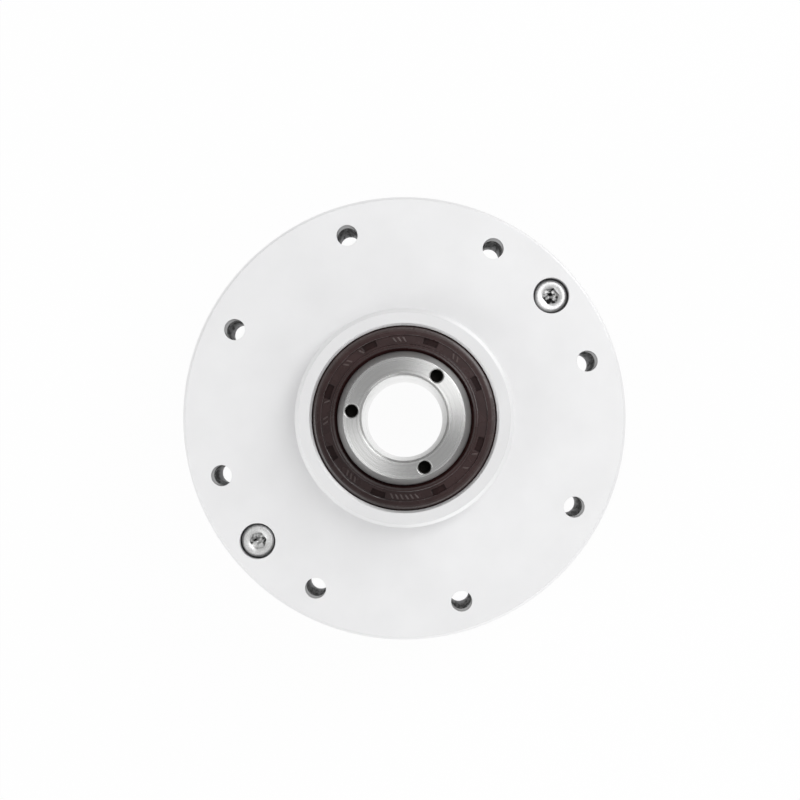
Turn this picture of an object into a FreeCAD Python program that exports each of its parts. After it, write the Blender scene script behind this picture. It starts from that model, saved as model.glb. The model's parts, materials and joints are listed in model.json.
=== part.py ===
"""Hollow-shaft strain wave gearbox.

The input side faces +Z. The origin is the centre of the mounting bolt circle on the front
face of the housing flange, so the body of the gearbox lies below Z = 0.
The flexspline is held by the housing and flexed by the wave generator on the hollow shaft.
The circular spline turns with the inner ring of the crossed roller bearing and the output flange.
All sizes are in millimetres and degrees.
"""

import FreeCAD
import Part

import math
import os

V = FreeCAD.Vector
AXIS = V(0, 0, 1)

# Clearances
seat_fit = 0.01            # races, cases, plugs and screws in their seats
race_clearance = 0.02      # balls and rollers in their raceways
lip_clearance = 0.03       # rubber lips round the parts that they wipe
pocket_clearance = 0.08    # balls in their cage pockets
head_clearance = 0.25      # screw heads in their counterbores
shank_clearance = 0.05     # screws in their clearance holes, close enough to locate the pieces
rim_gap = 0.5              # end of the flexspline above the output flange

# Hollow shaft
bore_diameter = 14.0
journal_wall = 4.0
shaft_stand_out = 1.0
shaft_recess = 0.3
lead_in_depth = 1.0
lead_in_length = 1.7
bore_chamfer = 0.35
bearing_step = 1.5
seat_run_out = 0.5
shoulder_height = 0.9
shoulder_width = 2.4
waist_wall = 3.6
waist_taper = 2.0
tapped_holes = 3
tapped_inset = 1.7
tapped_hole_diameter = 2.1
tapped_hole_depth = 6.0
tapped_countersink = 0.2
tapped_start = 57.5

# Support bearings of the shaft
bearing_width = 4.0
race_thickness = 1.05
race_gap = 1.4
bearing_ball_diameter = 2.0
bearing_balls = 18
bearing_cage_thickness = 0.7
bearing_cage_web = 0.32
bearing_seat_lip = 1.4
shim_thickness = 0.5

# Shaft seals
seal_section = 4.2
seal_width = 5.0
seal_recess = 0.3
seal_shoulder = 0.8
shoulder_overlap = 1.6
seal_face = 1.35
seal_skin = 0.5
seal_case_sheet = 0.5
seal_case_stop = 0.4
seal_chamfer = 0.3
seal_edge_round = 0.8
seal_rim_round = 0.15
seal_bead = 1.6
seal_mouth = 0.5
seal_inner_rim = 0.65
seal_face_recess = 0.25
seal_notches = 8
seal_notch_start = 30.8
seal_notch_angle = 10.5
seal_notch_width = 1.0
seal_notch_depth = 0.6
dust_lip_level = 1.0
seal_lip_level = 2.9
lip_neck = 0.55
lip_thickness = 0.55
lip_slope = 0.8
lip_tail = 1.0
spring_diameter = 0.8
spring_inset = 0.8
spring_level = 3.2
spring_collar = 0.65

# Wave generator
cam_step = 0.5
wave_race_thickness = 1.275
wave_race_gap = 1.5
wave_ball_diameter = 2.778
wave_balls = 23
wave_cage_thickness = 0.8
wave_cage_web = 0.53
wave_stop_inset = 0.45
spacer_thickness = 0.9
spacer_height = 0.9

# Flexspline and circular spline
flexspline_teeth = 100
tooth_difference = 2
rim_thickness = 0.41
cup_wall = 0.38
addendum_modules = 0.65
dedendum_modules = 0.85
flank_angle = 25.0
backlash = 0.02
tooth_width = 6.3
cup_straight = 2.0
diaphragm_thickness = 0.5
diaphragm_drop = 0.7
diaphragm_fillet = 1.0
brim_fillet = 0.5
brim_thickness = 2.0
gear_section = 2.94
circular_width = 7.0
spigot_height = 1.0

# Crossed roller bearing
roller_diameter = 3.5
roller_end_play = 0.15
roller_gap = 0.03
inner_ring_section = 5.0
outer_ring_section = 7.0
ring_gap = 0.6
ring_width = 10.0
inner_ring_extra = 2.0
inner_ring_drop = 0.4
dust_seal_height = 1.6
dust_seal_width = 2.0
dust_seal_lip = 0.2
plug_diameter = 5.0
plug_recess = 0.3
plug_pin_diameter = 1.5

# Housing and its flange
mount_holes = 8
mount_hole_diameter = 3.5
mount_start = 22.5
rim_margin = 5.0
flange_web = 8.5
boss_wall = 2.8
boss_height = 6.5
boss_chamfer = 0.6
mouth_chamfer = 0.4
edge_chamfer = 0.4
seam_chamfer = 0.2
brim_lip = 2.0
o_ring_height = 0.8
o_ring_width = 1.2
o_ring_corner = 0.2
o_ring_land = 0.8

# Output flange
output_plate = 8.0
output_overhang = 2.0
output_holes = 8
output_hole_diameter = 2.5
output_hole_depth = 5.0
output_bolt_inset = 2.0
output_o_ring_land = 0.2

# Socket head cap screws
screw_diameter = 3.0
screw_head_diameter = 5.5
screw_head_height = 3.0
screw_head_round = 0.5
screw_head_sink = 1.5
screw_tip_chamfer = 0.4
tap_run_out = 0.5
hex_key = 2.5
hex_depth = 1.5
housing_engagement = 6.0
output_engagement = 3.5

# Radii of the shaft, its bearings and its seals
bore_radius = bore_diameter / 2
tapped_radius = bore_radius + tapped_inset
journal_radius = bore_radius + journal_wall
seat_radius = journal_radius + bearing_step
shoulder_radius = seat_radius + shoulder_height
bearing_inner_radius = seat_radius + race_thickness
bearing_outer_bore = bearing_inner_radius + race_gap
bearing_radius = bearing_outer_bore + race_thickness
bearing_pitch_radius = bearing_inner_radius + race_gap / 2
shoulder_bore = bearing_radius - shoulder_overlap
seal_radius = journal_radius + seal_section
boss_radius = seal_radius + boss_wall

# Mean radii of the wave generator and the gear teeth
cam_radius = seat_radius + cam_step
wave_inner_radius = cam_radius + wave_race_thickness
wave_outer_bore = wave_inner_radius + wave_race_gap
wave_radius = wave_outer_bore + wave_race_thickness
wave_pitch_radius = wave_inner_radius + wave_race_gap / 2
cup_radius = wave_radius + seat_fit
cup_outer_radius = cup_radius + cup_wall
tooth_root_radius = cup_radius + rim_thickness
module = 2 * tooth_root_radius / (flexspline_teeth - 2 * dedendum_modules)
addendum = addendum_modules * module
dedendum = dedendum_modules * module
circular_teeth = flexspline_teeth + tooth_difference
flexspline_pitch_radius = module * flexspline_teeth / 2
circular_pitch_radius = module * circular_teeth / 2
deflection = circular_pitch_radius - flexspline_pitch_radius

# Radii of the crossed roller bearing and the flanges
ring_bore = cup_radius + gear_section
race_depth = roller_diameter / math.sqrt(2)
roller_pitch_radius = ring_bore + inner_ring_section
roller_length = roller_diameter - roller_end_play
roller_inner_reach = roller_pitch_radius - (roller_diameter + roller_length) / math.sqrt(8)
roller_pairs = int(math.pi * roller_inner_reach / (roller_diameter + roller_gap))
inner_ring_radius = roller_pitch_radius - ring_gap / 2
outer_ring_bore = roller_pitch_radius + ring_gap / 2
dust_seal_radius = outer_ring_bore + dust_seal_width
mount_radius = roller_pitch_radius + outer_ring_section
body_radius = mount_radius + rim_margin
brim_radius = body_radius - brim_lip
o_ring_outer = mount_radius - mount_hole_diameter / 2 - o_ring_land
o_ring_inner = o_ring_outer - o_ring_width
pocket_radius = o_ring_inner - o_ring_land
output_radius = roller_pitch_radius + output_overhang
output_bolt_radius = ring_bore + output_bolt_inset

# Screws and their holes
screw_radius = screw_diameter / 2
shank_hole_radius = screw_radius + shank_clearance
counterbore_radius = screw_head_diameter / 2 + head_clearance
counterbore_depth = screw_head_height + screw_head_sink
housing_screw_length = flange_web - counterbore_depth + brim_thickness + housing_engagement
output_screw_length = output_plate - counterbore_depth + circular_width + output_engagement

# Levels along the axis, from the input end down
boss_top = boss_height
shaft_top = boss_top + shaft_stand_out
seal_top = boss_top - seal_recess
seal_seat = seal_top - seal_width
bearing_top = seal_seat - seal_shoulder
bearing_bottom = bearing_top - bearing_width
pocket_top = bearing_bottom - bearing_seat_lip
brim_top = -flange_web
brim_bottom = brim_top - brim_thickness
diaphragm_top = brim_top - diaphragm_drop
diaphragm_bottom = diaphragm_top - diaphragm_thickness
ring_bottom = brim_bottom - ring_width
roller_level = brim_bottom - ring_width / 2
circular_top = ring_bottom - inner_ring_extra
circular_bottom = circular_top - circular_width
tooth_bottom = circular_bottom + rim_gap
tooth_top = tooth_bottom + tooth_width
tooth_middle = tooth_bottom + tooth_width / 2
output_bearing_top = tooth_bottom - spacer_thickness
output_bearing_bottom = output_bearing_top - bearing_width
output_shoulder = output_bearing_bottom - shim_thickness
output_seal_seat = output_shoulder - seal_shoulder
output_seal_top = output_seal_seat - seal_width
output_end = output_seal_top - seal_recess
plate_bottom = circular_bottom - output_plate
shaft_bottom = output_end + shaft_recess

# The flexed oval is four arcs of 90 degrees. It has the length of the circle of the same mean
# radius, and it stands out by the deflection on X and in by the deflection on Y.
oval_difference = 2 * deflection / (math.sqrt(2) - 1)
oval_offset = oval_difference / math.sqrt(2)


def direction(angle):
    """The level direction at an angle from +X."""
    turn = math.radians(angle)
    return V(math.cos(turn), math.sin(turn), 0)


def around(count, start=0.0):
    """Equal angles round the axis."""
    return [start + 360.0 * k / count for k in range(count)]


def closed_face(points):
    """A flat face inside a closed outline of straight lines."""
    return Part.Face(Part.makePolygon(points + points[:1]))


def section(points):
    """A face in the plane of the axis, from (radius, level) points."""
    return closed_face([V(radius, 0, level) for radius, level in points])


def box_section(inner, outer, low, high):
    """A rectangle between two radii and two levels."""
    return section([(inner, low), (outer, low), (outer, high), (inner, high)])


def disc_section(pitch_radius, radius, level):
    """A round section at a pitch radius."""
    circle = Part.makeCircle(radius, V(pitch_radius, 0, level), V(0, 1, 0))
    return Part.Face(Part.Wire(circle))


def grooved(face, groove):
    """The section of a race with its ball groove cut out."""
    return face.cut(groove).Faces[0]


def turned(face, sweep=360.0):
    """A section turned about the axis."""
    solid = face.revolve(V(), AXIS, sweep)
    if solid.Volume < 0:
        solid.reverse()
    return solid


def oval_turned(face):
    """A section carried round the oval, one arc at a time, and joined to one solid."""
    quarters = []
    for k in range(4):
        side = 1 if k % 2 else -1
        quarter = turned(face.translated(V(side * oval_difference / 2, 0, 0)), 90.0)
        quarter.rotate(V(), AXIS, 90.0 * k - 45.0)
        quarter.translate(direction(90.0 * k) * (-side * oval_offset))
        quarters.append(quarter)
    return quarters[0].fuse(quarters[1:]).Solids[0]


def oval_wire(radius, level):
    """The oval of a mean radius, as a wire of four arcs."""
    arcs = []
    for k in range(4):
        side = 1 if k % 2 else -1
        centre = direction(90.0 * k) * (-side * oval_offset) + V(0, 0, level)
        circle = Part.Circle(centre, AXIS, radius + side * oval_difference / 2)
        start = math.pi / 2 * k - math.pi / 4
        arcs.append(Part.Arc(circle, start, start + math.pi / 2).toShape())
    return Part.Wire(arcs)


def quartered_circle(radius, level):
    """A circle cut where the arcs of the oval meet, to be lofted to it."""
    circle = Part.Circle(V(0, 0, level), AXIS, radius)
    starts = [math.pi / 2 * k - math.pi / 4 for k in range(4)]
    return Part.Wire([Part.Arc(circle, start, start + math.pi / 2).toShape() for start in starts])


def oval_point(radius, length):
    """The point at a length along the oval from +X, and the angle of its outward normal."""
    end_arc = radius - oval_difference / 2
    side_arc = radius + oval_difference / 2
    end_length = end_arc * math.pi / 4
    half_length = math.pi * radius
    halves, along = divmod(length, half_length)
    if along <= end_length:
        normal = math.degrees(along / end_arc)
        point = direction(normal) * end_arc + V(oval_offset, 0, 0)
    elif along <= half_length - end_length:
        normal = 45.0 + math.degrees((along - end_length) / side_arc)
        point = direction(normal) * side_arc - V(0, oval_offset, 0)
    else:
        normal = 180.0 - math.degrees((half_length - along) / end_arc)
        point = direction(normal) * end_arc - V(oval_offset, 0, 0)
    flip = -1 if halves % 2 else 1
    return point * flip, normal + 180.0 * halves


def drill(radius, pitch_radius, angle, low, high):
    """A cylinder along the axis on a bolt circle."""
    return Part.makeCylinder(radius, high - low, direction(angle) * pitch_radius + V(0, 0, low))


def drills(radius, pitch_radius, angles, low, high):
    """The same cylinder at several angles."""
    return [drill(radius, pitch_radius, angle, low, high) for angle in angles]


def placed(shape, pitch_radius, angle, level):
    """A copy of a shape, turned to an angle and moved out to a bolt circle."""
    copy = shape.copy()
    copy.rotate(V(), AXIS, angle)
    copy.translate(direction(angle) * pitch_radius + V(0, 0, level))
    return copy


def turned_over(shape, level):
    """A copy turned over about X, with its zero level moved to a level."""
    copy = shape.copy()
    copy.rotate(V(), V(1, 0, 0), 180.0)
    copy.translate(V(0, 0, level))
    return copy


def rounded(shape, radius, level, fillet):
    """The shape with the edge at a radius and level rounded."""
    edges = [edge for edge in shape.Edges
             if isinstance(edge.Curve, Part.Circle)
             and abs(edge.Curve.Radius - radius) < 1e-6
             and abs(edge.Curve.Center.z - level) < 1e-6]
    return shape.makeFillet(fillet, edges)


def housing_screw_angles():
    """The two housing screws stand opposite each other, midway between mounting holes."""
    step = 360.0 / mount_holes
    first = mount_start + step / 2
    return [first, first + step * (mount_holes // 2)]


def output_screw_angles():
    """The output screws stand midway between the tapped holes of the output flange."""
    return around(output_holes, 180.0 / output_holes)


def make_cap_screw(length):
    """A socket head cap screw, head up, with the seat of its head at zero."""
    head = screw_head_diameter / 2
    shank = screw_radius - seat_fit
    top = screw_head_height
    screw = turned(section([
        (0, -length), (shank - screw_tip_chamfer, -length), (shank, screw_tip_chamfer - length),
        (shank, 0), (head, 0), (head, top), (0, top)]))
    screw = rounded(screw, head, top, screw_head_round)
    corners = [direction(angle) * (hex_key / math.sqrt(3)) + V(0, 0, top) for angle in around(6)]
    return screw.cut(closed_face(corners).extrude(V(0, 0, -hex_depth)))


def make_hollow_shaft():
    """The turned shaft with the oval cam of the wave generator, its bore and its tapped end."""
    waist = bore_radius + waist_wall
    stop = wave_inner_radius - wave_stop_inset
    end = journal_radius - lead_in_depth
    taper_top = bearing_bottom - shoulder_width
    taper_bottom = tooth_top + shoulder_width
    upper_step = bearing_top + seat_run_out
    lower_step = output_bearing_bottom - seat_run_out
    upper = turned(section([
        (0, tooth_top), (0, shaft_top), (end, shaft_top), (journal_radius, shaft_top - lead_in_length),
        (journal_radius, upper_step), (seat_radius, upper_step), (seat_radius, bearing_bottom),
        (shoulder_radius, bearing_bottom), (shoulder_radius, taper_top), (waist, taper_top - waist_taper),
        (waist, taper_bottom + waist_taper), (stop, taper_bottom), (stop, tooth_top)]))
    cam = Part.Face(oval_wire(cam_radius - seat_fit, tooth_bottom)).extrude(V(0, 0, tooth_width))
    lower = turned(section([
        (0, tooth_bottom), (seat_radius, tooth_bottom), (seat_radius, lower_step),
        (journal_radius, lower_step), (journal_radius, shaft_bottom + lead_in_length),
        (end, shaft_bottom), (0, shaft_bottom)]))
    bore = turned(section([
        (0, shaft_bottom), (bore_radius + bore_chamfer, shaft_bottom),
        (bore_radius, shaft_bottom + bore_chamfer), (bore_radius, shaft_top - bore_chamfer),
        (bore_radius + bore_chamfer, shaft_top), (0, shaft_top)]))
    radius = tapped_hole_diameter / 2
    angles = around(tapped_holes, tapped_start)
    holes = drills(radius, tapped_radius, angles, shaft_top - tapped_hole_depth, shaft_top)
    sink = Part.makeCone(radius, radius + tapped_countersink, tapped_countersink)
    sinks = [placed(sink, tapped_radius, angle, shaft_top - tapped_countersink) for angle in angles]
    return upper.fuse([cam, lower]).cut([bore] + holes + sinks)


def ball_pockets(centres, diameter, depth):
    """Balls at (point, normal angle) centres, and the pockets of a cage round them."""
    balls = []
    pockets = []
    for centre, angle in centres:
        out = direction(angle)
        balls.append(Part.makeSphere(diameter / 2, centre))
        pockets.append(Part.makeCylinder(diameter / 2 + pocket_clearance, depth,
                                         centre - out * (depth / 2), out))
    return Part.makeCompound(balls), pockets


def make_bearing(top):
    """A support bearing below a level: inner race, outer race, balls and cage."""
    bottom = top - bearing_width
    middle = top - bearing_width / 2
    groove = disc_section(bearing_pitch_radius, bearing_ball_diameter / 2 + race_clearance, middle)
    inner = box_section(seat_radius + seat_fit, bearing_inner_radius, bottom, top)
    outer = box_section(bearing_outer_bore, bearing_radius - seat_fit, bottom, top)
    centres = [(direction(angle) * bearing_pitch_radius + V(0, 0, middle), angle)
               for angle in around(bearing_balls)]
    balls, pockets = ball_pockets(centres, bearing_ball_diameter, race_gap)
    thick = bearing_cage_thickness / 2
    tall = bearing_ball_diameter / 2 + pocket_clearance + bearing_cage_web
    cage = turned(box_section(bearing_pitch_radius - thick, bearing_pitch_radius + thick,
                              middle - tall, middle + tall))
    return turned(grooved(inner, groove)), turned(grooved(outer, groove)), balls, cage.cut(pockets)


def make_wave_bearing():
    """The flexed bearing of the wave generator: inner race, outer race, balls and cage."""
    groove = disc_section(wave_pitch_radius, wave_ball_diameter / 2 + race_clearance, tooth_middle)
    inner = box_section(cam_radius, wave_inner_radius, tooth_bottom, tooth_top)
    outer = box_section(wave_outer_bore, wave_radius, tooth_bottom, tooth_top)
    centres = []
    for k in range(wave_balls):
        point, normal = oval_point(wave_pitch_radius, 2 * math.pi * wave_pitch_radius * k / wave_balls)
        centres.append((point + V(0, 0, tooth_middle), normal))
    balls, pockets = ball_pockets(centres, wave_ball_diameter, wave_race_gap)
    thick = wave_cage_thickness / 2
    tall = wave_ball_diameter / 2 + pocket_clearance + wave_cage_web
    cage = oval_turned(box_section(wave_pitch_radius - thick, wave_pitch_radius + thick,
                                   tooth_middle - tall, tooth_middle + tall))
    inner = oval_turned(grooved(inner, groove))
    outer = oval_turned(grooved(outer, groove))
    return inner, outer, balls, cage.cut(pockets)


def tooth_corners(point, normal, internal):
    """The root and tip corners of one tooth, in order round the axis."""
    out = direction(normal)
    side = direction(normal + 90.0)
    slope = math.tan(math.radians(flank_angle))
    half_pitch = math.pi * module / 4 - backlash
    sign = -1 if internal else 1
    root = point - out * (sign * dedendum)
    tip = point + out * (sign * addendum)
    root_half = side * (half_pitch + dedendum * slope)
    tip_half = side * (half_pitch - addendum * slope)
    return [root - root_half, tip - tip_half, tip + tip_half, root + root_half]


def toothed_prism(teeth, low, high):
    """A solid whose side follows the corners of all the teeth."""
    corners = [corner + V(0, 0, low) for tooth in teeth for corner in tooth]
    return closed_face(corners).extrude(V(0, 0, high - low))


def make_flexspline():
    """The flexed cup with its external teeth, its thin diaphragm and its clamped brim."""
    pitch = math.pi * module
    teeth = [tooth_corners(*oval_point(flexspline_pitch_radius, pitch * k), False)
             for k in range(flexspline_teeth)]
    inside = Part.Face(oval_wire(cup_radius, tooth_bottom)).extrude(V(0, 0, tooth_width))
    rim = toothed_prism(teeth, tooth_bottom, tooth_top).cut(inside)

    cup_top = diaphragm_bottom - cup_straight
    skin = Part.makeLoft([oval_wire(cup_outer_radius, tooth_top),
                          quartered_circle(cup_outer_radius, cup_top)], True)
    hollow = Part.makeLoft([oval_wire(cup_radius, tooth_top), quartered_circle(cup_radius, cup_top)], True)
    wall = skin.cut(hollow)

    edge = brim_radius - seat_fit
    brim = turned(section([
        (cup_radius, cup_top), (cup_outer_radius, cup_top), (cup_outer_radius, diaphragm_bottom),
        (pocket_radius, diaphragm_bottom), (pocket_radius, brim_bottom), (edge, brim_bottom),
        (edge, brim_top), (pocket_radius, brim_top), (pocket_radius, diaphragm_top),
        (cup_radius, diaphragm_top)]))
    brim = rounded(brim, cup_outer_radius, diaphragm_bottom, diaphragm_fillet)
    brim = rounded(brim, cup_radius, diaphragm_top, diaphragm_fillet + cup_wall)
    top_step = brim_top - diaphragm_top
    bottom_step = diaphragm_bottom - brim_bottom
    brim = rounded(brim, pocket_radius, diaphragm_top, min(brim_fillet, top_step / 2))
    brim = rounded(brim, pocket_radius, diaphragm_bottom, min(brim_fillet, bottom_step / 2))
    holes = drills(mount_hole_diameter / 2, mount_radius, around(mount_holes, mount_start),
                   brim_bottom, brim_top)
    holes += drills(shank_hole_radius, mount_radius, housing_screw_angles(), brim_bottom, brim_top)
    return brim.cut(holes).fuse([wall, rim])


def make_circular_spline():
    """The rigid internal gear with its spigot and the holes of the output screws."""
    spigot_top = circular_top + spigot_height
    spigot_radius = ring_bore - seat_fit
    teeth = []
    for angle in around(circular_teeth, 180.0 / circular_teeth):
        teeth.append(tooth_corners(direction(angle) * circular_pitch_radius, angle, True))
    blank = turned(section([
        (0, circular_bottom), (output_radius - edge_chamfer, circular_bottom),
        (output_radius, circular_bottom + edge_chamfer), (output_radius, circular_top - edge_chamfer),
        (output_radius - edge_chamfer, circular_top), (spigot_radius, circular_top),
        (spigot_radius, spigot_top), (0, spigot_top)]))
    holes = drills(shank_hole_radius, output_bolt_radius, output_screw_angles(),
                   circular_bottom, circular_top)
    return blank.cut([toothed_prism(teeth, circular_bottom, spigot_top)] + holes)


def make_raceway():
    """The square ring that the crossed rollers run in, to be cut from both rings."""
    reach = race_depth + race_clearance * math.sqrt(2)
    return turned(section([
        (roller_pitch_radius - reach, roller_level), (roller_pitch_radius, roller_level - reach),
        (roller_pitch_radius + reach, roller_level), (roller_pitch_radius, roller_level + reach)]))


def make_inner_ring():
    """The inner ring of the crossed roller bearing, tapped for the output screws."""
    top = brim_bottom - inner_ring_drop
    body = turned(section([
        (ring_bore, circular_top), (inner_ring_radius, circular_top),
        (inner_ring_radius, top - seam_chamfer), (inner_ring_radius - seam_chamfer, top),
        (ring_bore, top)]))
    holes = drills(screw_radius, output_bolt_radius, output_screw_angles(),
                   circular_top, circular_top + output_engagement + tap_run_out)
    return body.cut([make_raceway()] + holes)


def plug_cylinder(radius, low, high):
    """A cylinder along the filling hole of the rollers, between two radii."""
    out = direction(mount_start - 180.0 / mount_holes)
    return Part.makeCylinder(radius, high - low, out * low + V(0, 0, roller_level), out)


def make_plug_pin(radius):
    """The pin across the filling plug, parallel to the axis."""
    return drill(radius, mount_radius, mount_start - 180.0 / mount_holes, ring_bottom, brim_bottom)


def make_outer_ring():
    """The outer ring with its bolt holes, filling hole and dust seal groove."""
    groove_top = ring_bottom + dust_seal_height
    body = turned(section([
        (outer_ring_bore, brim_bottom), (body_radius - seam_chamfer, brim_bottom),
        (body_radius, brim_bottom - seam_chamfer), (body_radius, ring_bottom + edge_chamfer),
        (body_radius - edge_chamfer, ring_bottom), (dust_seal_radius, ring_bottom),
        (dust_seal_radius, groove_top), (outer_ring_bore, groove_top)]))
    holes = drills(mount_hole_diameter / 2, mount_radius, around(mount_holes, mount_start),
                   ring_bottom, brim_bottom)
    holes += drills(screw_radius, mount_radius, housing_screw_angles(), ring_bottom, brim_bottom)
    filling = plug_cylinder(plug_diameter / 2, roller_pitch_radius, body_radius)
    return body.cut([make_raceway(), filling, make_plug_pin(plug_pin_diameter / 2)] + holes)


def make_roller_plug():
    """The plug of the filling hole. Its inner end carries the raceway on."""
    plug = plug_cylinder(plug_diameter / 2 - seat_fit, outer_ring_bore, body_radius - plug_recess)
    return plug.cut([make_raceway(), make_plug_pin(plug_pin_diameter / 2)])


def make_rollers():
    """The crossed rollers, with their axes leaning in and out in turn."""
    solids = []
    for k, angle in enumerate(around(2 * roller_pairs)):
        lean = V(1, 0, 1 if k % 2 else -1).normalize()
        roller = Part.makeCylinder(roller_diameter / 2, roller_length, lean * (-roller_length / 2), lean)
        solids.append(placed(roller, roller_pitch_radius, angle, roller_level))
    return Part.makeCompound(solids)


def make_dust_seal():
    """The rubber ring in the outer ring, with a lip against the inner ring."""
    groove_top = ring_bottom + dust_seal_height
    outer = dust_seal_radius - seat_fit
    lip = inner_ring_radius + lip_clearance
    return turned(section([
        (outer, ring_bottom), (outer, groove_top), (outer_ring_bore, groove_top),
        (lip, ring_bottom + dust_seal_lip), (lip, ring_bottom)]))


def make_seal():
    """A shaft seal with its outer face up at zero: rubber, steel case and garter spring."""
    outer = seal_radius - seat_fit
    tip = journal_radius + lip_clearance
    neck = journal_radius + lip_neck
    neck_back = neck + lip_thickness
    mouth = journal_radius + seal_mouth
    rim = mouth + seal_inner_rim
    bead_inner = outer - seal_bead
    case_radius = outer - seal_skin
    spring_pitch = neck + spring_inset
    lip_end = seal_lip_level + lip_tail
    collar = spring_level - spring_collar
    rubber = turned(section([
        (outer, seal_chamfer - seal_width), (outer, 0), (bead_inner, 0), (bead_inner, -seal_face_recess),
        (rim, -seal_face_recess), (rim, 0),
        (mouth + seal_face_recess, 0), (mouth, -seal_face_recess), (tip, -dust_lip_level),
        (neck, -dust_lip_level - lip_neck), (neck, lip_slope - seal_lip_level), (tip, -seal_lip_level),
        (neck, -lip_end), (spring_pitch, -lip_end), (spring_pitch, -collar),
        (neck_back, spring_inset - lip_thickness - collar), (neck_back, -seal_face),
        (case_radius, -seal_face), (case_radius, -seal_width), (outer - seal_chamfer, -seal_width)]))
    rubber = rounded(rubber, outer, 0, seal_edge_round)
    rubber = rounded(rubber, bead_inner, 0, seal_rim_round)
    rubber = rounded(rubber, rim, 0, seal_rim_round)
    groove = turned(disc_section(spring_pitch, spring_diameter / 2 + seat_fit, -spring_level))
    notch_floor = -seal_face_recess - seal_notch_depth
    notch = turned(box_section(bead_inner - seal_notch_width, bead_inner, notch_floor, 0), seal_notch_angle)
    first_notch = seal_notch_start - seal_notch_angle / 2
    notches = [placed(notch, 0, angle, 0) for angle in around(seal_notches, first_notch)]
    case_bottom = seal_case_stop - seal_width
    shelf = -seal_face - seal_case_sheet
    case = turned(section([
        (case_radius, -seal_face), (case_radius, case_bottom), (case_radius - seal_case_sheet, case_bottom),
        (case_radius - seal_case_sheet, shelf), (neck_back + seal_case_sheet, shelf),
        (neck_back + seal_case_sheet, -seal_face)]))
    spring = turned(disc_section(spring_pitch, spring_diameter / 2, -spring_level))
    return rubber.cut([groove] + notches), case, spring


def make_o_ring(inner, low):
    """An O-ring as it lies squeezed in its groove."""
    outer = inner + o_ring_width
    high = low + o_ring_height
    cut = o_ring_corner
    return turned(section([
        (inner + cut, low), (outer - cut, low), (outer, low + cut), (outer, high - cut),
        (outer - cut, high), (inner + cut, high), (inner, high - cut), (inner, low + cut)]))


def make_housing():
    """The flanged housing with the boss round the input seal and the seat of the input bearing."""
    groove_top = brim_top + o_ring_height
    body = turned(section([
        (seal_radius + mouth_chamfer, boss_top), (boss_radius - boss_chamfer, boss_top),
        (boss_radius, boss_top - boss_chamfer), (boss_radius, 0), (body_radius - edge_chamfer, 0),
        (body_radius, -edge_chamfer), (body_radius, brim_bottom + seam_chamfer),
        (body_radius - seam_chamfer, brim_bottom), (brim_radius, brim_bottom), (brim_radius, brim_top),
        (o_ring_outer, brim_top), (o_ring_outer, groove_top), (o_ring_inner, groove_top),
        (o_ring_inner, brim_top), (pocket_radius, brim_top), (pocket_radius, pocket_top),
        (bearing_radius, pocket_top), (bearing_radius, bearing_top), (shoulder_bore, bearing_top),
        (shoulder_bore, seal_seat), (seal_radius, seal_seat), (seal_radius, boss_top - mouth_chamfer)]))
    screws = housing_screw_angles()
    holes = drills(mount_hole_diameter / 2, mount_radius, around(mount_holes, mount_start), brim_top, 0)
    holes += drills(shank_hole_radius, mount_radius, screws, brim_top, 0)
    holes += drills(counterbore_radius, mount_radius, screws, -counterbore_depth, 0)
    return body.cut(holes)


def make_output_flange():
    """The output flange with its boss, tapped holes and screw seats, and its O-ring."""
    groove_outer = output_bolt_radius - shank_hole_radius - output_o_ring_land
    groove_inner = groove_outer - o_ring_width
    groove_bottom = circular_bottom - o_ring_height
    body = turned(section([
        (seal_radius + mouth_chamfer, output_end), (boss_radius - boss_chamfer, output_end),
        (boss_radius, output_end + boss_chamfer), (boss_radius, plate_bottom),
        (output_radius - edge_chamfer, plate_bottom), (output_radius, plate_bottom + edge_chamfer),
        (output_radius, circular_bottom - edge_chamfer), (output_radius - edge_chamfer, circular_bottom),
        (groove_outer, circular_bottom), (groove_outer, groove_bottom), (groove_inner, groove_bottom),
        (groove_inner, circular_bottom), (bearing_radius, circular_bottom),
        (bearing_radius, output_shoulder), (shoulder_bore, output_shoulder),
        (shoulder_bore, output_seal_seat), (seal_radius, output_seal_seat),
        (seal_radius, output_end + mouth_chamfer)]))
    screws = output_screw_angles()
    holes = drills(output_hole_diameter / 2, output_bolt_radius, around(output_holes),
                   plate_bottom, plate_bottom + output_hole_depth)
    holes += drills(shank_hole_radius, output_bolt_radius, screws, plate_bottom, circular_bottom)
    holes += drills(counterbore_radius, output_bolt_radius, screws,
                    plate_bottom, plate_bottom + counterbore_depth)
    return body.cut(holes), make_o_ring(groove_inner, groove_bottom)


def make_housing_pieces():
    """The pieces that stay still with the housing, and the rollers that run in its outer ring."""
    screw = make_cap_screw(housing_screw_length)
    screws = [placed(screw, mount_radius, angle, -counterbore_depth) for angle in housing_screw_angles()]
    return {
        "input_housing": make_housing(),
        "housing_screws": Part.makeCompound(screws),
        "housing_o_ring": make_o_ring(o_ring_inner, brim_top),
        "flexspline": make_flexspline(),
        "roller_outer_ring": make_outer_ring(),
        "roller_plug": make_roller_plug(),
        "roller_plug_pin": make_plug_pin(plug_pin_diameter / 2 - seat_fit),
        "roller_dust_seal": make_dust_seal(),
        "crossed_rollers": make_rollers(),
    }


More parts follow.
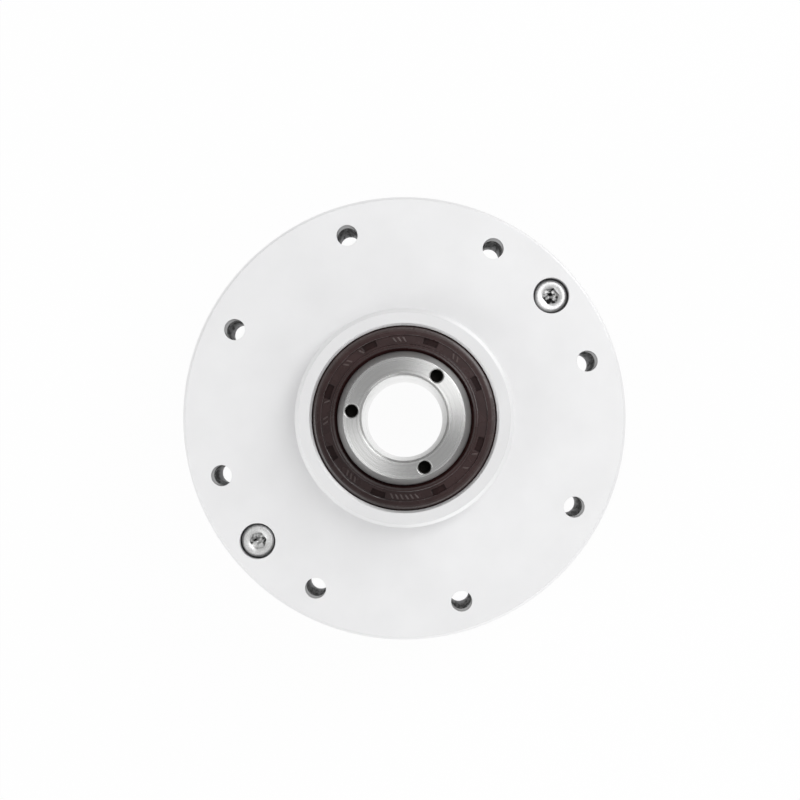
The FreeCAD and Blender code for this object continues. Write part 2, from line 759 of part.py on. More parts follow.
def make_output_pieces():
    """The pieces that turn with the output."""
    flange, o_ring = make_output_flange()
    screw = turned_over(make_cap_screw(output_screw_length), plate_bottom + counterbore_depth)
    screws = [placed(screw, output_bolt_radius, angle, 0) for angle in output_screw_angles()]
    shim = box_section(bearing_outer_bore, bearing_radius - seat_fit,
                       output_shoulder, output_bearing_bottom)
    return {
        "roller_inner_ring": make_inner_ring(),
        "circular_spline": make_circular_spline(),
        "output_flange": flange,
        "output_screws": Part.makeCompound(screws),
        "output_o_ring": o_ring,
        "bearing_shim": turned(shim),
    }


def make_shaft_pieces():
    """The shaft, its two bearings and seals, and the wave generator."""
    spacer = box_section(seat_radius + seat_fit, seat_radius + spacer_height,
                         output_bearing_top, tooth_bottom)
    pieces = {"hollow_shaft": make_hollow_shaft(), "wave_spacer": turned(spacer)}
    bearings = {
        "input_bearing": make_bearing(bearing_top),
        "output_bearing": make_bearing(output_bearing_top),
        "wave": make_wave_bearing(),
    }
    for name, shapes in bearings.items():
        for piece, shape in zip(("inner_race", "outer_race", "balls", "cage"), shapes):
            pieces[name + "_" + piece] = shape
    for piece, shape in zip(("rubber", "case", "spring"), make_seal()):
        pieces["input_seal_" + piece] = placed(shape, 0, 0, seal_top)
        pieces["output_seal_" + piece] = turned_over(shape, output_seal_top)
    return pieces


def main():
    """Build every piece and write each to its own file."""
    pieces = {**make_housing_pieces(), **make_output_pieces(), **make_shaft_pieces()}
    os.makedirs("parts", exist_ok=True)
    for name, shape in pieces.items():
        shape.exportStep("parts/" + name + ".step")


main()
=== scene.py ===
"""Looks of a hollow-shaft strain wave gearbox: finishes, threaded screws, seal marks, light and camera.

Lengths are in metres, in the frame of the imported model: +Z is the axis of the shaft towards its
input end, and Z = 0 is the front face of the housing flange. Named angles are in degrees.
"""

import json
import math

import bpy
from mathutils import Matrix, Vector


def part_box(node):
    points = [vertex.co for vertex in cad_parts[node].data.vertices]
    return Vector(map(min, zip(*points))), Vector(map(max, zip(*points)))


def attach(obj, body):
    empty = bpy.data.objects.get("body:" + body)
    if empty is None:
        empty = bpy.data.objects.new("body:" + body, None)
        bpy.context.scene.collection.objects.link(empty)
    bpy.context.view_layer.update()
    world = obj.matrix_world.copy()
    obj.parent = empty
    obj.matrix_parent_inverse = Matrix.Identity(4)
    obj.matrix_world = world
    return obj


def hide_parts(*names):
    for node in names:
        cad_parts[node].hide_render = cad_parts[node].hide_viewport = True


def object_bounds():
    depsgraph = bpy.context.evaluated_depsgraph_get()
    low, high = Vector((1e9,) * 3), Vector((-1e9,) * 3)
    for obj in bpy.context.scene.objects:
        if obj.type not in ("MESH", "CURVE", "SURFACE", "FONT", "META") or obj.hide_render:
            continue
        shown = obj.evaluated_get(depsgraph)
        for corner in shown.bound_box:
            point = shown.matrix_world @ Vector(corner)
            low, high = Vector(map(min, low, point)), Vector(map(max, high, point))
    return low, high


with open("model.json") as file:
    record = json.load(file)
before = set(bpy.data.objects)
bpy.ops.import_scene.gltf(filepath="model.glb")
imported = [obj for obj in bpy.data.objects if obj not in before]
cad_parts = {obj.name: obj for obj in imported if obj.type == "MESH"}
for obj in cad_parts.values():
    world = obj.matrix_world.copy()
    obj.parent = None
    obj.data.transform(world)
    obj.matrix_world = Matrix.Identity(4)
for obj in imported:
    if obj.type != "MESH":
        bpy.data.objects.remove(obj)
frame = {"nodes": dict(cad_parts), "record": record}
cad_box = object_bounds()

MM = 0.001
mounts = {mount["name"]: mount for mount in frame["record"]["mounts"]}
bore_radius = mounts["hollow_bore"]["dims"]["r_mm"] * MM

# Colours of the finishes
housing_colour = (0.9, 0.9, 0.905)
output_colour = (0.84, 0.84, 0.85)
shaft_colour = (0.58, 0.58, 0.575)
bearing_colour = (0.5, 0.5, 0.51)
gear_colour = (0.42, 0.42, 0.43)
screw_colour = (0.87, 0.87, 0.865)
spring_colour = (0.6, 0.6, 0.6)
seal_colour = (0.03, 0.0115, 0.011)
# Lighter brown of the raised marks on the seals, partly painted highlight on their strokes
mark_colour = (0.09, 0.062, 0.059)
ring_colour = (0.02, 0.02, 0.021)
cage_colour = (0.62, 0.5, 0.32)
# Painted shade: the threads of the shaft's tapped holes are coloured nearly black
thread_shade_dark = (0.012, 0.011, 0.010)
thread_shade_pale = (0.03, 0.028, 0.026)

# Tints that multiply the colour in parts of a finish; all but bore_tint are painted shade, or partly
# painted sheen
face_shade_tint = (0.92, 0.92, 0.92)
side_shade_tint = (0.76, 0.76, 0.765)
drilled_shade_tint = (0.83, 0.83, 0.83)
head_edge_shade_tint = (0.78, 0.78, 0.78)
bore_tint = (1.5, 1.5, 1.5)
bore_shade_side_tint = (0.65, 0.65, 0.65)
seal_rub_and_sheen_tint = (1.5, 2.4, 2.4)
seal_shade_side_tint = (0.6, 0.6, 0.6)

# Painted shade in patches in the mounting holes and in the sockets of the screws
painted_shade_dark = (0.02, 0.02, 0.02)
painted_shade_pale = (1.0, 1.0, 1.0)
shade_patch_grain = 0.8 * MM
shade_patch_runs = 0.12
deep_shade_level = -5.0 * MM
shade_thinning = 0.22
shade_fade = 0.2
hole_unshaded_start = 0.5
socket_unshaded_start = 0.4
shaded_hole_metal = (0.0, 0.7)
shaded_hole_roughness = 0.5
shaded_hole_gloss = 0.1

# Metallic shares, roughness and gloss of other parts of a finish
plain_gloss = 0.5
blasted_metal = 0.6
blasted_roughness = (0.62, 0.74)
cut_metal = 1.0
cut_roughness = (0.26, 0.42)
sunk_metal = 0.4
sunk_roughness = 0.6
drilled_roughness = 0.3
lead_in_roughness = 0.34
bore_roughness = (0.05, 0.25)
bore_shade_side_roughness = 0.3
thread_roughness = (0.3, 0.5)
seal_notch_gloss = 0.15
seal_face_gloss = 0.35
seal_slope_gloss = 1.0

# Share of a turn from the tangent of turned steel to its highlights
highlight_turn = 0.25

# Fade at the edge of a mask, and reaches that take in walls and faces
mask_fade = 0.01 * MM
wall_reach = 0.02 * MM
face_reach = 0.03 * MM
bore_reach = 0.05 * MM

# Limits for how far a surface faces up or down, from 0 on a side wall to 1 on a level face
steep = 0.3
slanted = 0.8
nearly_flat = 0.97

# Places with a finish of their own
mount_start = 22.5
counterbore_radius = 3.0 * MM
journal_wall = 4.0 * MM
lead_in_depth = 1.0 * MM
lead_in_length = 1.7 * MM
crown_height = 0.05 * MM
head_edge_height = 0.5 * MM
seal_face_reach = 0.35 * MM
# Radius beyond which the seals' outer ring is worn and lighter, partly as painted sheen
seal_rub_and_sheen_radius = 14.3 * MM
# Angles round the axis of the painted shade on one side of the seals and of the bore
seal_shade_side = 230.0
bore_shade_side = 335.0

# Ranges of a noise over which values and colours are spread
noise_low = 0.25
noise_high = 0.75
ramp_start = 0.3
ramp_end = 0.7

# Framing of the photograph in its pixels, and the turn of the part in it
photo_size = 800.0
photo_centre = Vector((404.4, 418.3))
photo_nadir = Vector((409.8, 430.7))
photo_pixels_per_mm = 5.985
photo_roll = 5.1
camera_height = 322 * MM
camera_clip = 10 * MM
sensor_width = 36.0

# Light of the room: the angle of its bright side in the photograph, its colours, and heights as sines
bright_side = 315.0
bright_wall = (1.0, 1.0, 1.0)
dim_wall = (0.48, 0.48, 0.48)
wall_foot = (1.0, 1.0, 1.0)
ceiling = (0.46, 0.46, 0.46)
foot_height = 0.05
wall_height = 0.7

# Lamps that face the flange, with their angles in the photograph, sizes in metres and powers in watts
lamp_distance = 0.6
lamps = {
    "key": {"azimuth": 38, "elevation": 62, "width": 0.2, "height": 0.45, "power": 0.87},
    "fill": {"azimuth": 225, "elevation": 55, "width": 0.25, "height": 0.45, "power": 0.36},
    "low_right": {"azimuth": 45, "elevation": 25, "width": 0.4, "height": 0.3, "power": 0.8},
    "low_front": {"azimuth": 300, "elevation": 25, "width": 0.4, "height": 0.3, "power": 0.45},
    "low_left": {"azimuth": 195, "elevation": 34, "width": 0.3, "height": 0.3, "power": 0.5},
}

# Floor
floor_gap = 0.05 * MM
floor_half = 3.0
floor_steps = 4
floor_white_share = 0.965
floor_colour = (0.9, 0.9, 0.9)
pure_white = (1.0, 1.0, 1.0)

# Socket head cap screws
screw_start = 45.0
screw_count = 2
output_screw_start = 22.5
output_screw_count = 8
head_radius = 2.75 * MM
head_height = 3.0 * MM
head_round = 0.5 * MM
head_round_steps = 6
head_foot = 0.15 * MM
knurl_depth = 0.06 * MM
socket_reach = 1.25 * MM
socket_depth = 1.5 * MM
socket_chamfer = 0.14 * MM
socket_slope = 0.5
socket_tip = 0.45 * MM
socket_point = 0.6 * MM
screw_radius = 1.5 * MM
screw_neck = 1.0 * MM
screw_pitch = 0.5 * MM
screw_segments = 48
rings_per_turn = 4
thread_share = 0.6
sharp_angle = 32.0

# Threads of the tapped holes
shaft_hole_start = 57.5
shaft_thread_pitch = 0.45 * MM
shaft_thread_depth = 5.4 * MM
output_hole_start = 0.0
output_thread_pitch = 0.5 * MM
output_thread_depth = 4.6 * MM
thread_segments = 32
thread_ridge = 0.12 * MM
thread_gap = 0.005 * MM
countersink_depth = 0.25 * MM

# Raised marks on the seals; a group has the angle of its first mark and a count
mark_inner = 12.55 * MM
mark_outer = 13.35 * MM
mark_height = 0.1 * MM
mark_draft = 0.05 * MM
seal_band_depth = 0.25 * MM
mark_width = 1.3
mark_step = 3.6
mark_slant = 2.2
mark_groups = (
    (53, 2), (95, 3), (128, 1), (139, 2), (173, 1),
    (185, 2), (229, 3), (266, 6), (326, 1), (338, 1))


def add_node(tree, kind, inputs, **settings):
    """A new shader node with its settings, and with its inputs set or linked."""
    node = tree.nodes.new("ShaderNode" + kind)
    for name, value in settings.items():
        setattr(node, name, value)
    for name, value in inputs.items():
        if isinstance(value, bpy.types.NodeSocket):
            tree.links.new(value, node.inputs[name])
        else:
            node.inputs[name].default_value = value
    return node


def new_material(name, metallic=0.0):
    """A material with a node tree, and its tree and main shader."""
    material = bpy.data.materials.new(name)
    material.use_nodes = True
    tree = material.node_tree
    shader = tree.nodes["Principled BSDF"]
    shader.inputs["Metallic"].default_value = metallic
    return material, tree, shader


def join(tree, shader, **sockets):
    """Link outputs to the inputs of the main shader, with underscores for spaces."""
    for name, socket in sockets.items():
        tree.links.new(socket, shader.inputs[name.replace("_", " ")])


def math_node(tree, operation, *values):
    """The result of one operation on values or sockets."""
    return add_node(tree, "Math", dict(enumerate(values)), operation=operation).outputs[0]


def remap(tree, value, start=0.0, end=1.0, low=0.0, high=1.0):
    """A result that goes from low to high as a value goes from start to end, and no further."""
    inputs = {"Value": value, "From Min": start, "From Max": end, "To Min": low, "To Max": high}
    return add_node(tree, "MapRange", inputs).outputs["Result"]


def sides_of(tree, way):
    """The X, Y and Z of a vector."""
    return add_node(tree, "SeparateXYZ", {"Vector": way}).outputs


def length_of(tree, way):
    """The length of a vector."""
    return add_node(tree, "VectorMath", {0: way}, operation="LENGTH").outputs["Value"]


def share_towards(tree, way, turn):
    """The share of a vector that points to a level angle in radians."""
    towards = (math.cos(turn), math.sin(turn), 0)
    return add_node(tree, "VectorMath", {0: way, 1: towards}, operation="DOT_PRODUCT").outputs["Value"]


def photo_turn(angle):
    """An angle of the photograph as a turn round the axis of the model, in radians."""
    return math.radians(angle + photo_roll)


def object_position(tree):
    """The position in the frame of the model."""
    return add_node(tree, "TexCoord", {}).outputs["Object"]


def flattened_position(tree, share):
    """The position in the frame of the model, with its level multiplied by a share."""
    scale = (1, 1, share)
    node = add_node(tree, "VectorMath", {0: object_position(tree), 1: scale}, operation="MULTIPLY")
    return node.outputs["Vector"]


def off_axis(tree):
    """The way from the axis out to a point."""
    return flattened_position(tree, 0)


def radius_of(tree):
    """The distance of a point from the axis."""
    return length_of(tree, off_axis(tree))


def level_of(tree):
    """The level of a point along the axis."""
    return sides_of(tree, object_position(tree))["Z"]


def turned_position(tree):
    """The radius and the level of a point, so that a texture read there runs in rings round the axis."""
    return add_node(tree, "CombineXYZ", {"X": radius_of(tree), "Z": level_of(tree)}).outputs["Vector"]


def noise(tree, place, grain, detail=2.0):
    """Noise with a grain of this size in metres."""
    inputs = {"Vector": place, "Scale": 1 / grain, "Detail": detail}
    return add_node(tree, "TexNoise", inputs).outputs["Fac"]


def rgba(colour):
    """A colour that covers fully, or a socket as it is."""
    return (*colour, 1) if isinstance(colour, tuple) else colour


def scaled(colour, share):
    """A colour made darker or lighter."""
    return tuple(channel * share for channel in colour)


def ramp(tree, factor, low, high, start=ramp_start, end=ramp_end):
    """Colours from low to high as the factor rises from start to end."""
    node = add_node(tree, "ValToRGB", {"Fac": factor})
    stops = node.color_ramp.elements
    stops[0].position = start
    stops[1].position = end
    stops[0].color = rgba(low)
    stops[1].color = rgba(high)
    return node.outputs["Color"]


def clouded(tree, factor, colour, low, high=1.0):
    """A colour that goes from one share of itself to another as the noise rises."""
    return ramp(tree, factor, scaled(colour, low), scaled(colour, high))


def spread(tree, factor, low, high):
    """Values from low to high as the noise rises through its usual range."""
    return remap(tree, factor, noise_low, noise_high, low, high)


def uneven(tree, factor, roughness, low, high):
    """A roughness that goes from one share of itself to another as the noise rises."""
    return spread(tree, factor, roughness * low, roughness * high)


def rounded(tree, radius, samples):
    """A surface with edges that look rounded."""
    return add_node(tree, "Bevel", {"Radius": radius}, samples=samples).outputs["Normal"]


def bump(tree, height, depth, strength, base=None):
    """A surface roughened by a height, on top of another one."""
    inputs = {"Height": height, "Distance": depth, "Strength": strength}
    if base is not None:
        inputs["Normal"] = base
    return add_node(tree, "Bump", inputs).outputs["Normal"]


def mix_colours(tree, share, first, second, blend_type="MIX"):
    """Two colours mixed by a share, through the colour sockets of the Mix node."""
    inputs = {0: share, 6: rgba(first), 7: rgba(second)}
    return add_node(tree, "Mix", inputs, data_type="RGBA", blend_type=blend_type).outputs[2]


def tinted(tree, mask, colour, tint):
    """A colour multiplied by a tint where a mask is 1."""
    return mix_colours(tree, mask, colour, tint, "MULTIPLY")


def pick(tree, mask, off, on):
    """One value or socket where a mask is 0, and another where it is 1."""
    return remap(tree, mask, low=off, high=on)


def both(tree, first, second):
    """1 where two masks are 1."""
    return math_node(tree, "MULTIPLY", first, second)


def below(tree, value, limit):
    """1 where a value is below a limit, 0 above it, with a narrow fade."""
    return remap(tree, value, limit + mask_fade, limit - mask_fade)


def above(tree, value, limit):
    """1 where a value is above a limit, 0 below it, with a narrow fade."""
    return math_node(tree, "SUBTRACT", 1.0, below(tree, value, limit))


def upright(tree):
    """How far a surface faces up or down: 0 on a side wall, 1 on a level face."""
    normal = add_node(tree, "TexCoord", {}).outputs["Normal"]
    return math_node(tree, "ABSOLUTE", sides_of(tree, normal)["Z"])


def near_level(tree, level, reach):
    """1 within a reach of a level."""
    away = math_node(tree, "SUBTRACT", level_of(tree), level)
    return below(tree, math_node(tree, "ABSOLUTE", away), reach)


def on_side(tree, angle):
    """1 at an angle round the axis, fading to 0 a quarter of a turn away."""
    outward = add_node(tree, "VectorMath", {0: off_axis(tree)}, operation="NORMALIZE").outputs["Vector"]
    return math_node(tree, "MAXIMUM", share_towards(tree, outward, math.radians(angle)), 0.0)


def pitch_radius(mount_name):
    """The radius of the bolt circle of a mount."""
    return mounts[mount_name]["dims"]["pcd_mm"] * MM / 2


def in_holes(tree, start, count, hole_radius):
    """1 on the walls of evenly spaced holes on the mounting bolt circle."""
    half_step = math.pi / count
    sides = sides_of(tree, object_position(tree))
    angle = math_node(tree, "ARCTAN2", sides["Y"], sides["X"])
    turned = math_node(tree, "SUBTRACT", angle, math.radians(start))
    folded = math_node(tree, "WRAP", turned, half_step, -half_step)
    radius = radius_of(tree)
    along = math_node(tree, "MULTIPLY", radius, math_node(tree, "COSINE", folded))
    out = math_node(tree, "SUBTRACT", along, pitch_radius("flange_bolts"))
    across = math_node(tree, "MULTIPLY", radius, math_node(tree, "SINE", folded))
    offset = add_node(tree, "CombineXYZ", {"X": out, "Y": across}).outputs["Vector"]
    return below(tree, length_of(tree, offset), hole_radius + wall_reach)


def in_mount_holes(tree):
    """1 on the walls of the mounting holes."""
    dims = mounts["flange_bolts"]["dims"]
    return in_holes(tree, mount_start, dims["count"], dims["hole_r_mm"] * MM)


def shade_patches(tree):
    """Patches of painted shade, in runs along the axis; a high value is a patch without shade."""
    return noise(tree, flattened_position(tree, shade_patch_runs), shade_patch_grain, detail=4.0)


def hole_shade_patches(tree):
    """Patches of painted shade in the mounting holes, which thin out towards their far ends."""
    far_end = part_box("roller_outer_ring")[0].z
    thinner = remap(tree, level_of(tree), deep_shade_level, far_end, high=shade_thinning)
    return math_node(tree, "ADD", shade_patches(tree), thinner)


def patchy_shade(tree, mask, colour, shade_patch, bare_start):
    """A colour darkened by patches of painted shade where a mask is 1, left as it is where the patches are
    above a start.
    """
    shade = ramp(tree, shade_patch, painted_shade_dark, painted_shade_pale, bare_start, bare_start + shade_fade)
    return tinted(tree, mask, colour, shade)


def patchy_shade_metal(tree, mask, shade_patch, bare):
    """The metallic share of bare metal where a mask is 0, and of metal under painted shade where it is 1.
    """
    return pick(tree, mask, bare, spread(tree, shade_patch, *shaded_hole_metal))


def aluminium_colour(tree, colour, turned_level):
    """A faintly clouded colour, with painted shade on a turned face and on the sides behind the flange's
    front.
    """
    cloud = noise(tree, object_position(tree), grain=9 * MM, detail=3.0)
    skin = clouded(tree, cloud, colour, low=0.965)
    # Painted shade: the turned face is a little darker than the blasted flange
    faced = tinted(tree, near_level(tree, turned_level, face_reach), skin, face_shade_tint)
    # Painted shade: the sides behind the flange's front are darker than its face
    side = below(tree, upright(tree), steep)
    rim = both(tree, side, below(tree, level_of(tree), 0.0))
    return tinted(tree, rim, faced, side_shade_tint)


def blasted_aluminium(name, colour, turned_level):
    """Blasted aluminium with bright cut sides and edges, a turned face and drilled holes, with painted
    shade on the face, the sides and the hole walls.
    """
    material, tree, shader = new_material(name)
    grit = noise(tree, object_position(tree), grain=0.13 * MM)
    rings = noise(tree, turned_position(tree), grain=0.22 * MM, detail=1.0)
    edges = rounded(tree, radius=0.12 * MM, samples=4)
    turned = bump(tree, rings, depth=0.004 * MM, strength=0.25, base=edges)
    cut = below(tree, upright(tree), slanted)
    drilled = in_mount_holes(tree)
    sunk = in_holes(tree, screw_start, screw_count, counterbore_radius)
    # Painted shade in patches deep in the mounting holes
    deep_shade = both(tree, drilled, below(tree, level_of(tree), deep_shade_level))
    shade_patch = hole_shade_patches(tree)
    outside = aluminium_colour(tree, colour, turned_level)
    # Painted shade: the walls of the drilled holes are darker all the way down
    bare = tinted(tree, drilled, outside, drilled_shade_tint)
    roughness = pick(tree, cut, spread(tree, grit, *blasted_roughness), spread(tree, rings, *cut_roughness))
    metal = patchy_shade_metal(tree, deep_shade, shade_patch, pick(tree, cut, blasted_metal, cut_metal))
    join(tree, shader,
         Base_Color=patchy_shade(tree, deep_shade, bare, shade_patch, hole_unshaded_start),
         Specular_IOR_Level=pick(tree, deep_shade, plain_gloss, shaded_hole_gloss),
         Metallic=pick(tree, sunk, metal, sunk_metal),
         Roughness=pick(tree, drilled, pick(tree, sunk, roughness, sunk_roughness),
                        pick(tree, deep_shade, drilled_roughness, shaded_hole_roughness)),
         Normal=bump(tree, grit, depth=0.008 * MM, strength=0.35, base=turned))
    return material


def lead_in_area(tree):
    """1 on the tapered lead-in at both ends of the shaft."""
    low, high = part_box("hollow_shaft")
    middle = (low.z + high.z) / 2
    inner_length = (high.z - low.z) / 2 - lead_in_length
    inward = math_node(tree, "SUBTRACT", bore_radius + journal_wall, radius_of(tree))
    ends = math_node(tree, "SUBTRACT", 1.0, near_level(tree, middle, inner_length))
    return both(tree, below(tree, inward, lead_in_depth - face_reach), ends)


def shaft_finish(tree, shader, colour, roughness):
    """A honed bore with painted shade and a roughness of its own on one side, and a coarser lead-in at the
    ends of the shaft.
    """
    honed = below(tree, radius_of(tree), bore_radius + bore_reach)
    outside = pick(tree, lead_in_area(tree), roughness, lead_in_roughness)
    wiped = spread(tree, noise(tree, object_position(tree), grain=6 * MM), *bore_roughness)
    # Painted shade: one side of the bore wall is darkened, where it gets less light
    painted_shade_side = both(tree, honed, on_side(tree, bore_shade_side))
    join(tree, shader,
         Base_Color=tinted(tree, painted_shade_side, tinted(tree, honed, colour, bore_tint), bore_shade_side_tint),
         Roughness=pick(tree, honed, outside, pick(tree, painted_shade_side, wiped, bore_shade_side_roughness)))


def ring_finish(tree, shader, colour, roughness):
    """Dull walls with painted shade in patches in the mounting holes."""
    drilled = in_mount_holes(tree)
    shade_patch = hole_shade_patches(tree)
    join(tree, shader,
         # Painted shade in patches on the walls of the mounting holes through the rings
         Base_Color=patchy_shade(tree, drilled, colour, shade_patch, hole_unshaded_start),
         Specular_IOR_Level=pick(tree, drilled, plain_gloss, shaded_hole_gloss),
         Metallic=patchy_shade_metal(tree, drilled, shade_patch, 1.0),
         Roughness=pick(tree, drilled, roughness, shaded_hole_roughness))


def turned_steel(name, colour, roughness, line_width, line_depth, anisotropy, finish):
    """Steel with turning or grinding lines round the axis."""
    material, tree, shader = new_material(name, metallic=1.0)
    lines = noise(tree, turned_position(tree), line_width, detail=5.0)
    shader.inputs["Anisotropic"].default_value = anisotropy
    shader.inputs["Anisotropic Rotation"].default_value = highlight_turn
    around = add_node(tree, "Tangent", {}, direction_type="RADIAL", axis="Z").outputs["Tangent"]
    edges = rounded(tree, radius=0.15 * MM, samples=6)
    join(tree, shader, Tangent=around, Normal=bump(tree, lines, line_depth, strength=0.4, base=edges))
    finish(tree, shader,
           clouded(tree, lines, colour, low=0.93, high=1.05),
           uneven(tree, lines, roughness, low=0.8, high=1.25))
    return material


def head_depth(tree):
    """The depth of a point below the tops of the screw heads on its side of the gearbox."""
    upper = math_node(tree, "SUBTRACT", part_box("housing_screws")[1].z, level_of(tree))
    lower = math_node(tree, "SUBTRACT", level_of(tree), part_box("output_screws")[0].z)
    return math_node(tree, "MINIMUM", upper, lower)


def screw_finish(name, colour, roughness):
    """Bright scuffed screw heads with painted shade on their round edges, and painted shade in patches in
    their sockets and further down.
    """
    material, tree, shader = new_material(name, metallic=1.0)
    scuffs = noise(tree, object_position(tree), grain=0.25 * MM, detail=5.0)
    socket = above(tree, head_depth(tree), head_edge_height)
    # Painted shade on each head's round edge, where the counterbore's wall shades it
    painted_edge_shade = math_node(tree, "SUBTRACT", above(tree, head_depth(tree), crown_height), socket)
    head = tinted(tree, painted_edge_shade, clouded(tree, scuffs, colour, low=0.7), head_edge_shade_tint)
    join(tree, shader,
         # Painted shade in patches in the sockets and further down
         Base_Color=patchy_shade(tree, socket, head, shade_patches(tree), socket_unshaded_start),
         Roughness=uneven(tree, scuffs, roughness, low=0.8, high=1.2),
         Normal=bump(tree, scuffs, depth=0.02 * MM, strength=0.45))
    return material


def bright_steel(name, colour, roughness):
    """Smooth rolled steel with fine scuffs."""
    material, tree, shader = new_material(name, metallic=1.0)
    place = object_position(tree)
    scuffs = noise(tree, place, grain=0.35 * MM, detail=5.0)
    cloud = noise(tree, place, grain=1.5 * MM)
    edges = rounded(tree, radius=0.08 * MM, samples=4)
    join(tree, shader,
         Base_Color=clouded(tree, cloud, colour, low=0.92),
         Roughness=uneven(tree, scuffs, roughness, low=0.75, high=1.35),
         Normal=bump(tree, scuffs, depth=0.006 * MM, strength=0.25, base=edges))
    return material


def seal_face_area(tree):
    """1 on the outer faces of the seals, 0 in their notches and mouths."""
    upper = near_level(tree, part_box("input_seal_rubber")[1].z, seal_face_reach)
    lower = near_level(tree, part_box("output_seal_rubber")[0].z, seal_face_reach)
    return math_node(tree, "MAXIMUM", upper, lower)


def seal_finish(tree, shader, colour):
    """A worn outer ring with painted sheen and a painted shadow on one side of a seal, glossy on its slopes
    and dull in its notches.
    """
    face = seal_face_area(tree)
    # Worn outer ring, lightened partly as painted sheen on the bead
    rub_and_sheen = both(tree, face, above(tree, radius_of(tree), seal_rub_and_sheen_radius))
    slope = below(tree, upright(tree), nearly_flat)
    # Painted shadow: one side of the seal is darkened, as if shaded by the shaft's end
    painted_shade_side = tinted(tree, on_side(tree, seal_shade_side), colour, seal_shade_side_tint)
    face_gloss = pick(tree, slope, seal_face_gloss, seal_slope_gloss)
    join(tree, shader,
         Base_Color=tinted(tree, rub_and_sheen, painted_shade_side, seal_rub_and_sheen_tint),
         Specular_IOR_Level=pick(tree, face, seal_notch_gloss, face_gloss))


def plain_finish(tree, shader, colour):
    """The same rubber all over."""
    join(tree, shader, Base_Color=colour)


def moulded_rubber(name, colour, roughness, finish):
    """Rubber with faint rings from its mould, a fine grain and a little dust."""
    material, tree, shader = new_material(name)
    place = object_position(tree)
    cloud = noise(tree, place, grain=2.5 * MM, detail=4.0)
    grit = noise(tree, place, grain=0.09 * MM)
    rings = noise(tree, turned_position(tree), grain=0.3 * MM, detail=1.0)
    edges = rounded(tree, radius=0.2 * MM, samples=6)
    moulded = bump(tree, rings, depth=0.012 * MM, strength=0.3, base=edges)
    finish(tree, shader, clouded(tree, cloud, colour, low=0.85, high=1.15))
    join(tree, shader,
         Roughness=uneven(tree, cloud, roughness, low=0.88, high=1.12),
         Normal=bump(tree, grit, depth=0.006 * MM, strength=0.3, base=moulded))
    return material


def moulded_plastic(name, colour, roughness):
    """Cage plastic with a soft flow pattern and a fine grain."""
    material, tree, shader = new_material(name)
    place = object_position(tree)
    flow = noise(tree, place, grain=1.2 * MM, detail=3.0)
    grit = noise(tree, place, grain=0.08 * MM)
    join(tree, shader,
         Base_Color=clouded(tree, flow, colour, low=0.9),
         Roughness=uneven(tree, grit, roughness, low=0.85, high=1.15),
         Normal=bump(tree, grit, depth=0.005 * MM, strength=0.25))
    return material


def shaded_threads():
    """Steel painted nearly black as shade, deep in the tapped holes of the shaft."""
    material, tree, shader = new_material("shaded_threads", metallic=1.0)
    shade_patch = noise(tree, object_position(tree), grain=0.3 * MM, detail=3.0)
    join(tree, shader,
         Base_Color=ramp(tree, shade_patch, thread_shade_dark, thread_shade_pale),
         Roughness=spread(tree, shade_patch, *thread_roughness))
    return material


def make_materials():
    """One finish for each material slot of the record."""
    boss_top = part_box("input_housing")[1].z
    boss_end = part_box("output_flange")[0].z
    return {
        "housing_aluminium": blasted_aluminium("blasted_housing", housing_colour, boss_top),
        "output_aluminium": blasted_aluminium("blasted_output", output_colour, boss_end),
        "shaft_steel": turned_steel(
            "turned_shaft", shaft_colour, roughness=0.24, line_width=0.4 * MM,
            line_depth=0.006 * MM, anisotropy=0.8, finish=shaft_finish),
        "bearing_steel": turned_steel(
            "ground_rings", bearing_colour, roughness=0.22, line_width=0.3 * MM,
            line_depth=0.004 * MM, anisotropy=0.6, finish=ring_finish),
        "gear_steel": turned_steel(
            "machined_gears", gear_colour, roughness=0.3, line_width=0.5 * MM,
            line_depth=0.006 * MM, anisotropy=0.5, finish=ring_finish),
        "screw_steel": screw_finish("screws", screw_colour, roughness=0.36),
        "spring_steel": bright_steel("spring_wire", spring_colour, roughness=0.25),
        "seal_rubber": moulded_rubber("seal_brown", seal_colour, roughness=0.27, finish=seal_finish),
        "ring_rubber": moulded_rubber("ring_black", ring_colour, roughness=0.5, finish=plain_finish),
        "cage_plastic": moulded_plastic("cage_tan", cage_colour, roughness=0.45),
    }


def dress_nodes(materials):
    """Give every node of the model the finish of its slot."""
    for subpart in frame["record"]["subparts"]:
        node = frame["nodes"][subpart["node"]]
        node.material_slots[0].material = materials[subpart["material_slot"]]


def ring_points(radius, level, segments):
    """Points of one ring, whose radius and level may depend on the angle."""
    points = []
    for k in range(segments):
        angle = 2 * math.pi * k / segments
        reach = radius(angle) if callable(radius) else radius
        height = level(angle) if callable(level) else level
        points.append(Vector((reach * math.cos(angle), reach * math.sin(angle), height)))
    return points


def band_faces(first, second, segments):
    """Faces between two rings, from the numbers of their first points."""
    faces = []
    for k in range(segments):
        following = (k + 1) % segments
        faces.append((first + k, second + k, second + following, first + following))
    return faces


def closed_skin(rings, segments):
    """Points and faces of a body lofted through rings: up inside its hole, then down its outside."""
    points = [Vector((0, 0, rings[0][1]))]
    for radius, level in rings[1:-1]:
        points += ring_points(radius, level, segments)
    points.append(Vector((0, 0, rings[-1][1])))
    last = len(points) - 1 - segments
    faces = [(0, 1 + k, 1 + (k + 1) % segments) for k in range(segments)]
    for first in range(1, last, segments):
        faces += band_faces(first, first + segments, segments)
    faces += [(len(points) - 1, last + (k + 1) % segments, last + k) for k in range(segments)]
    return points, faces


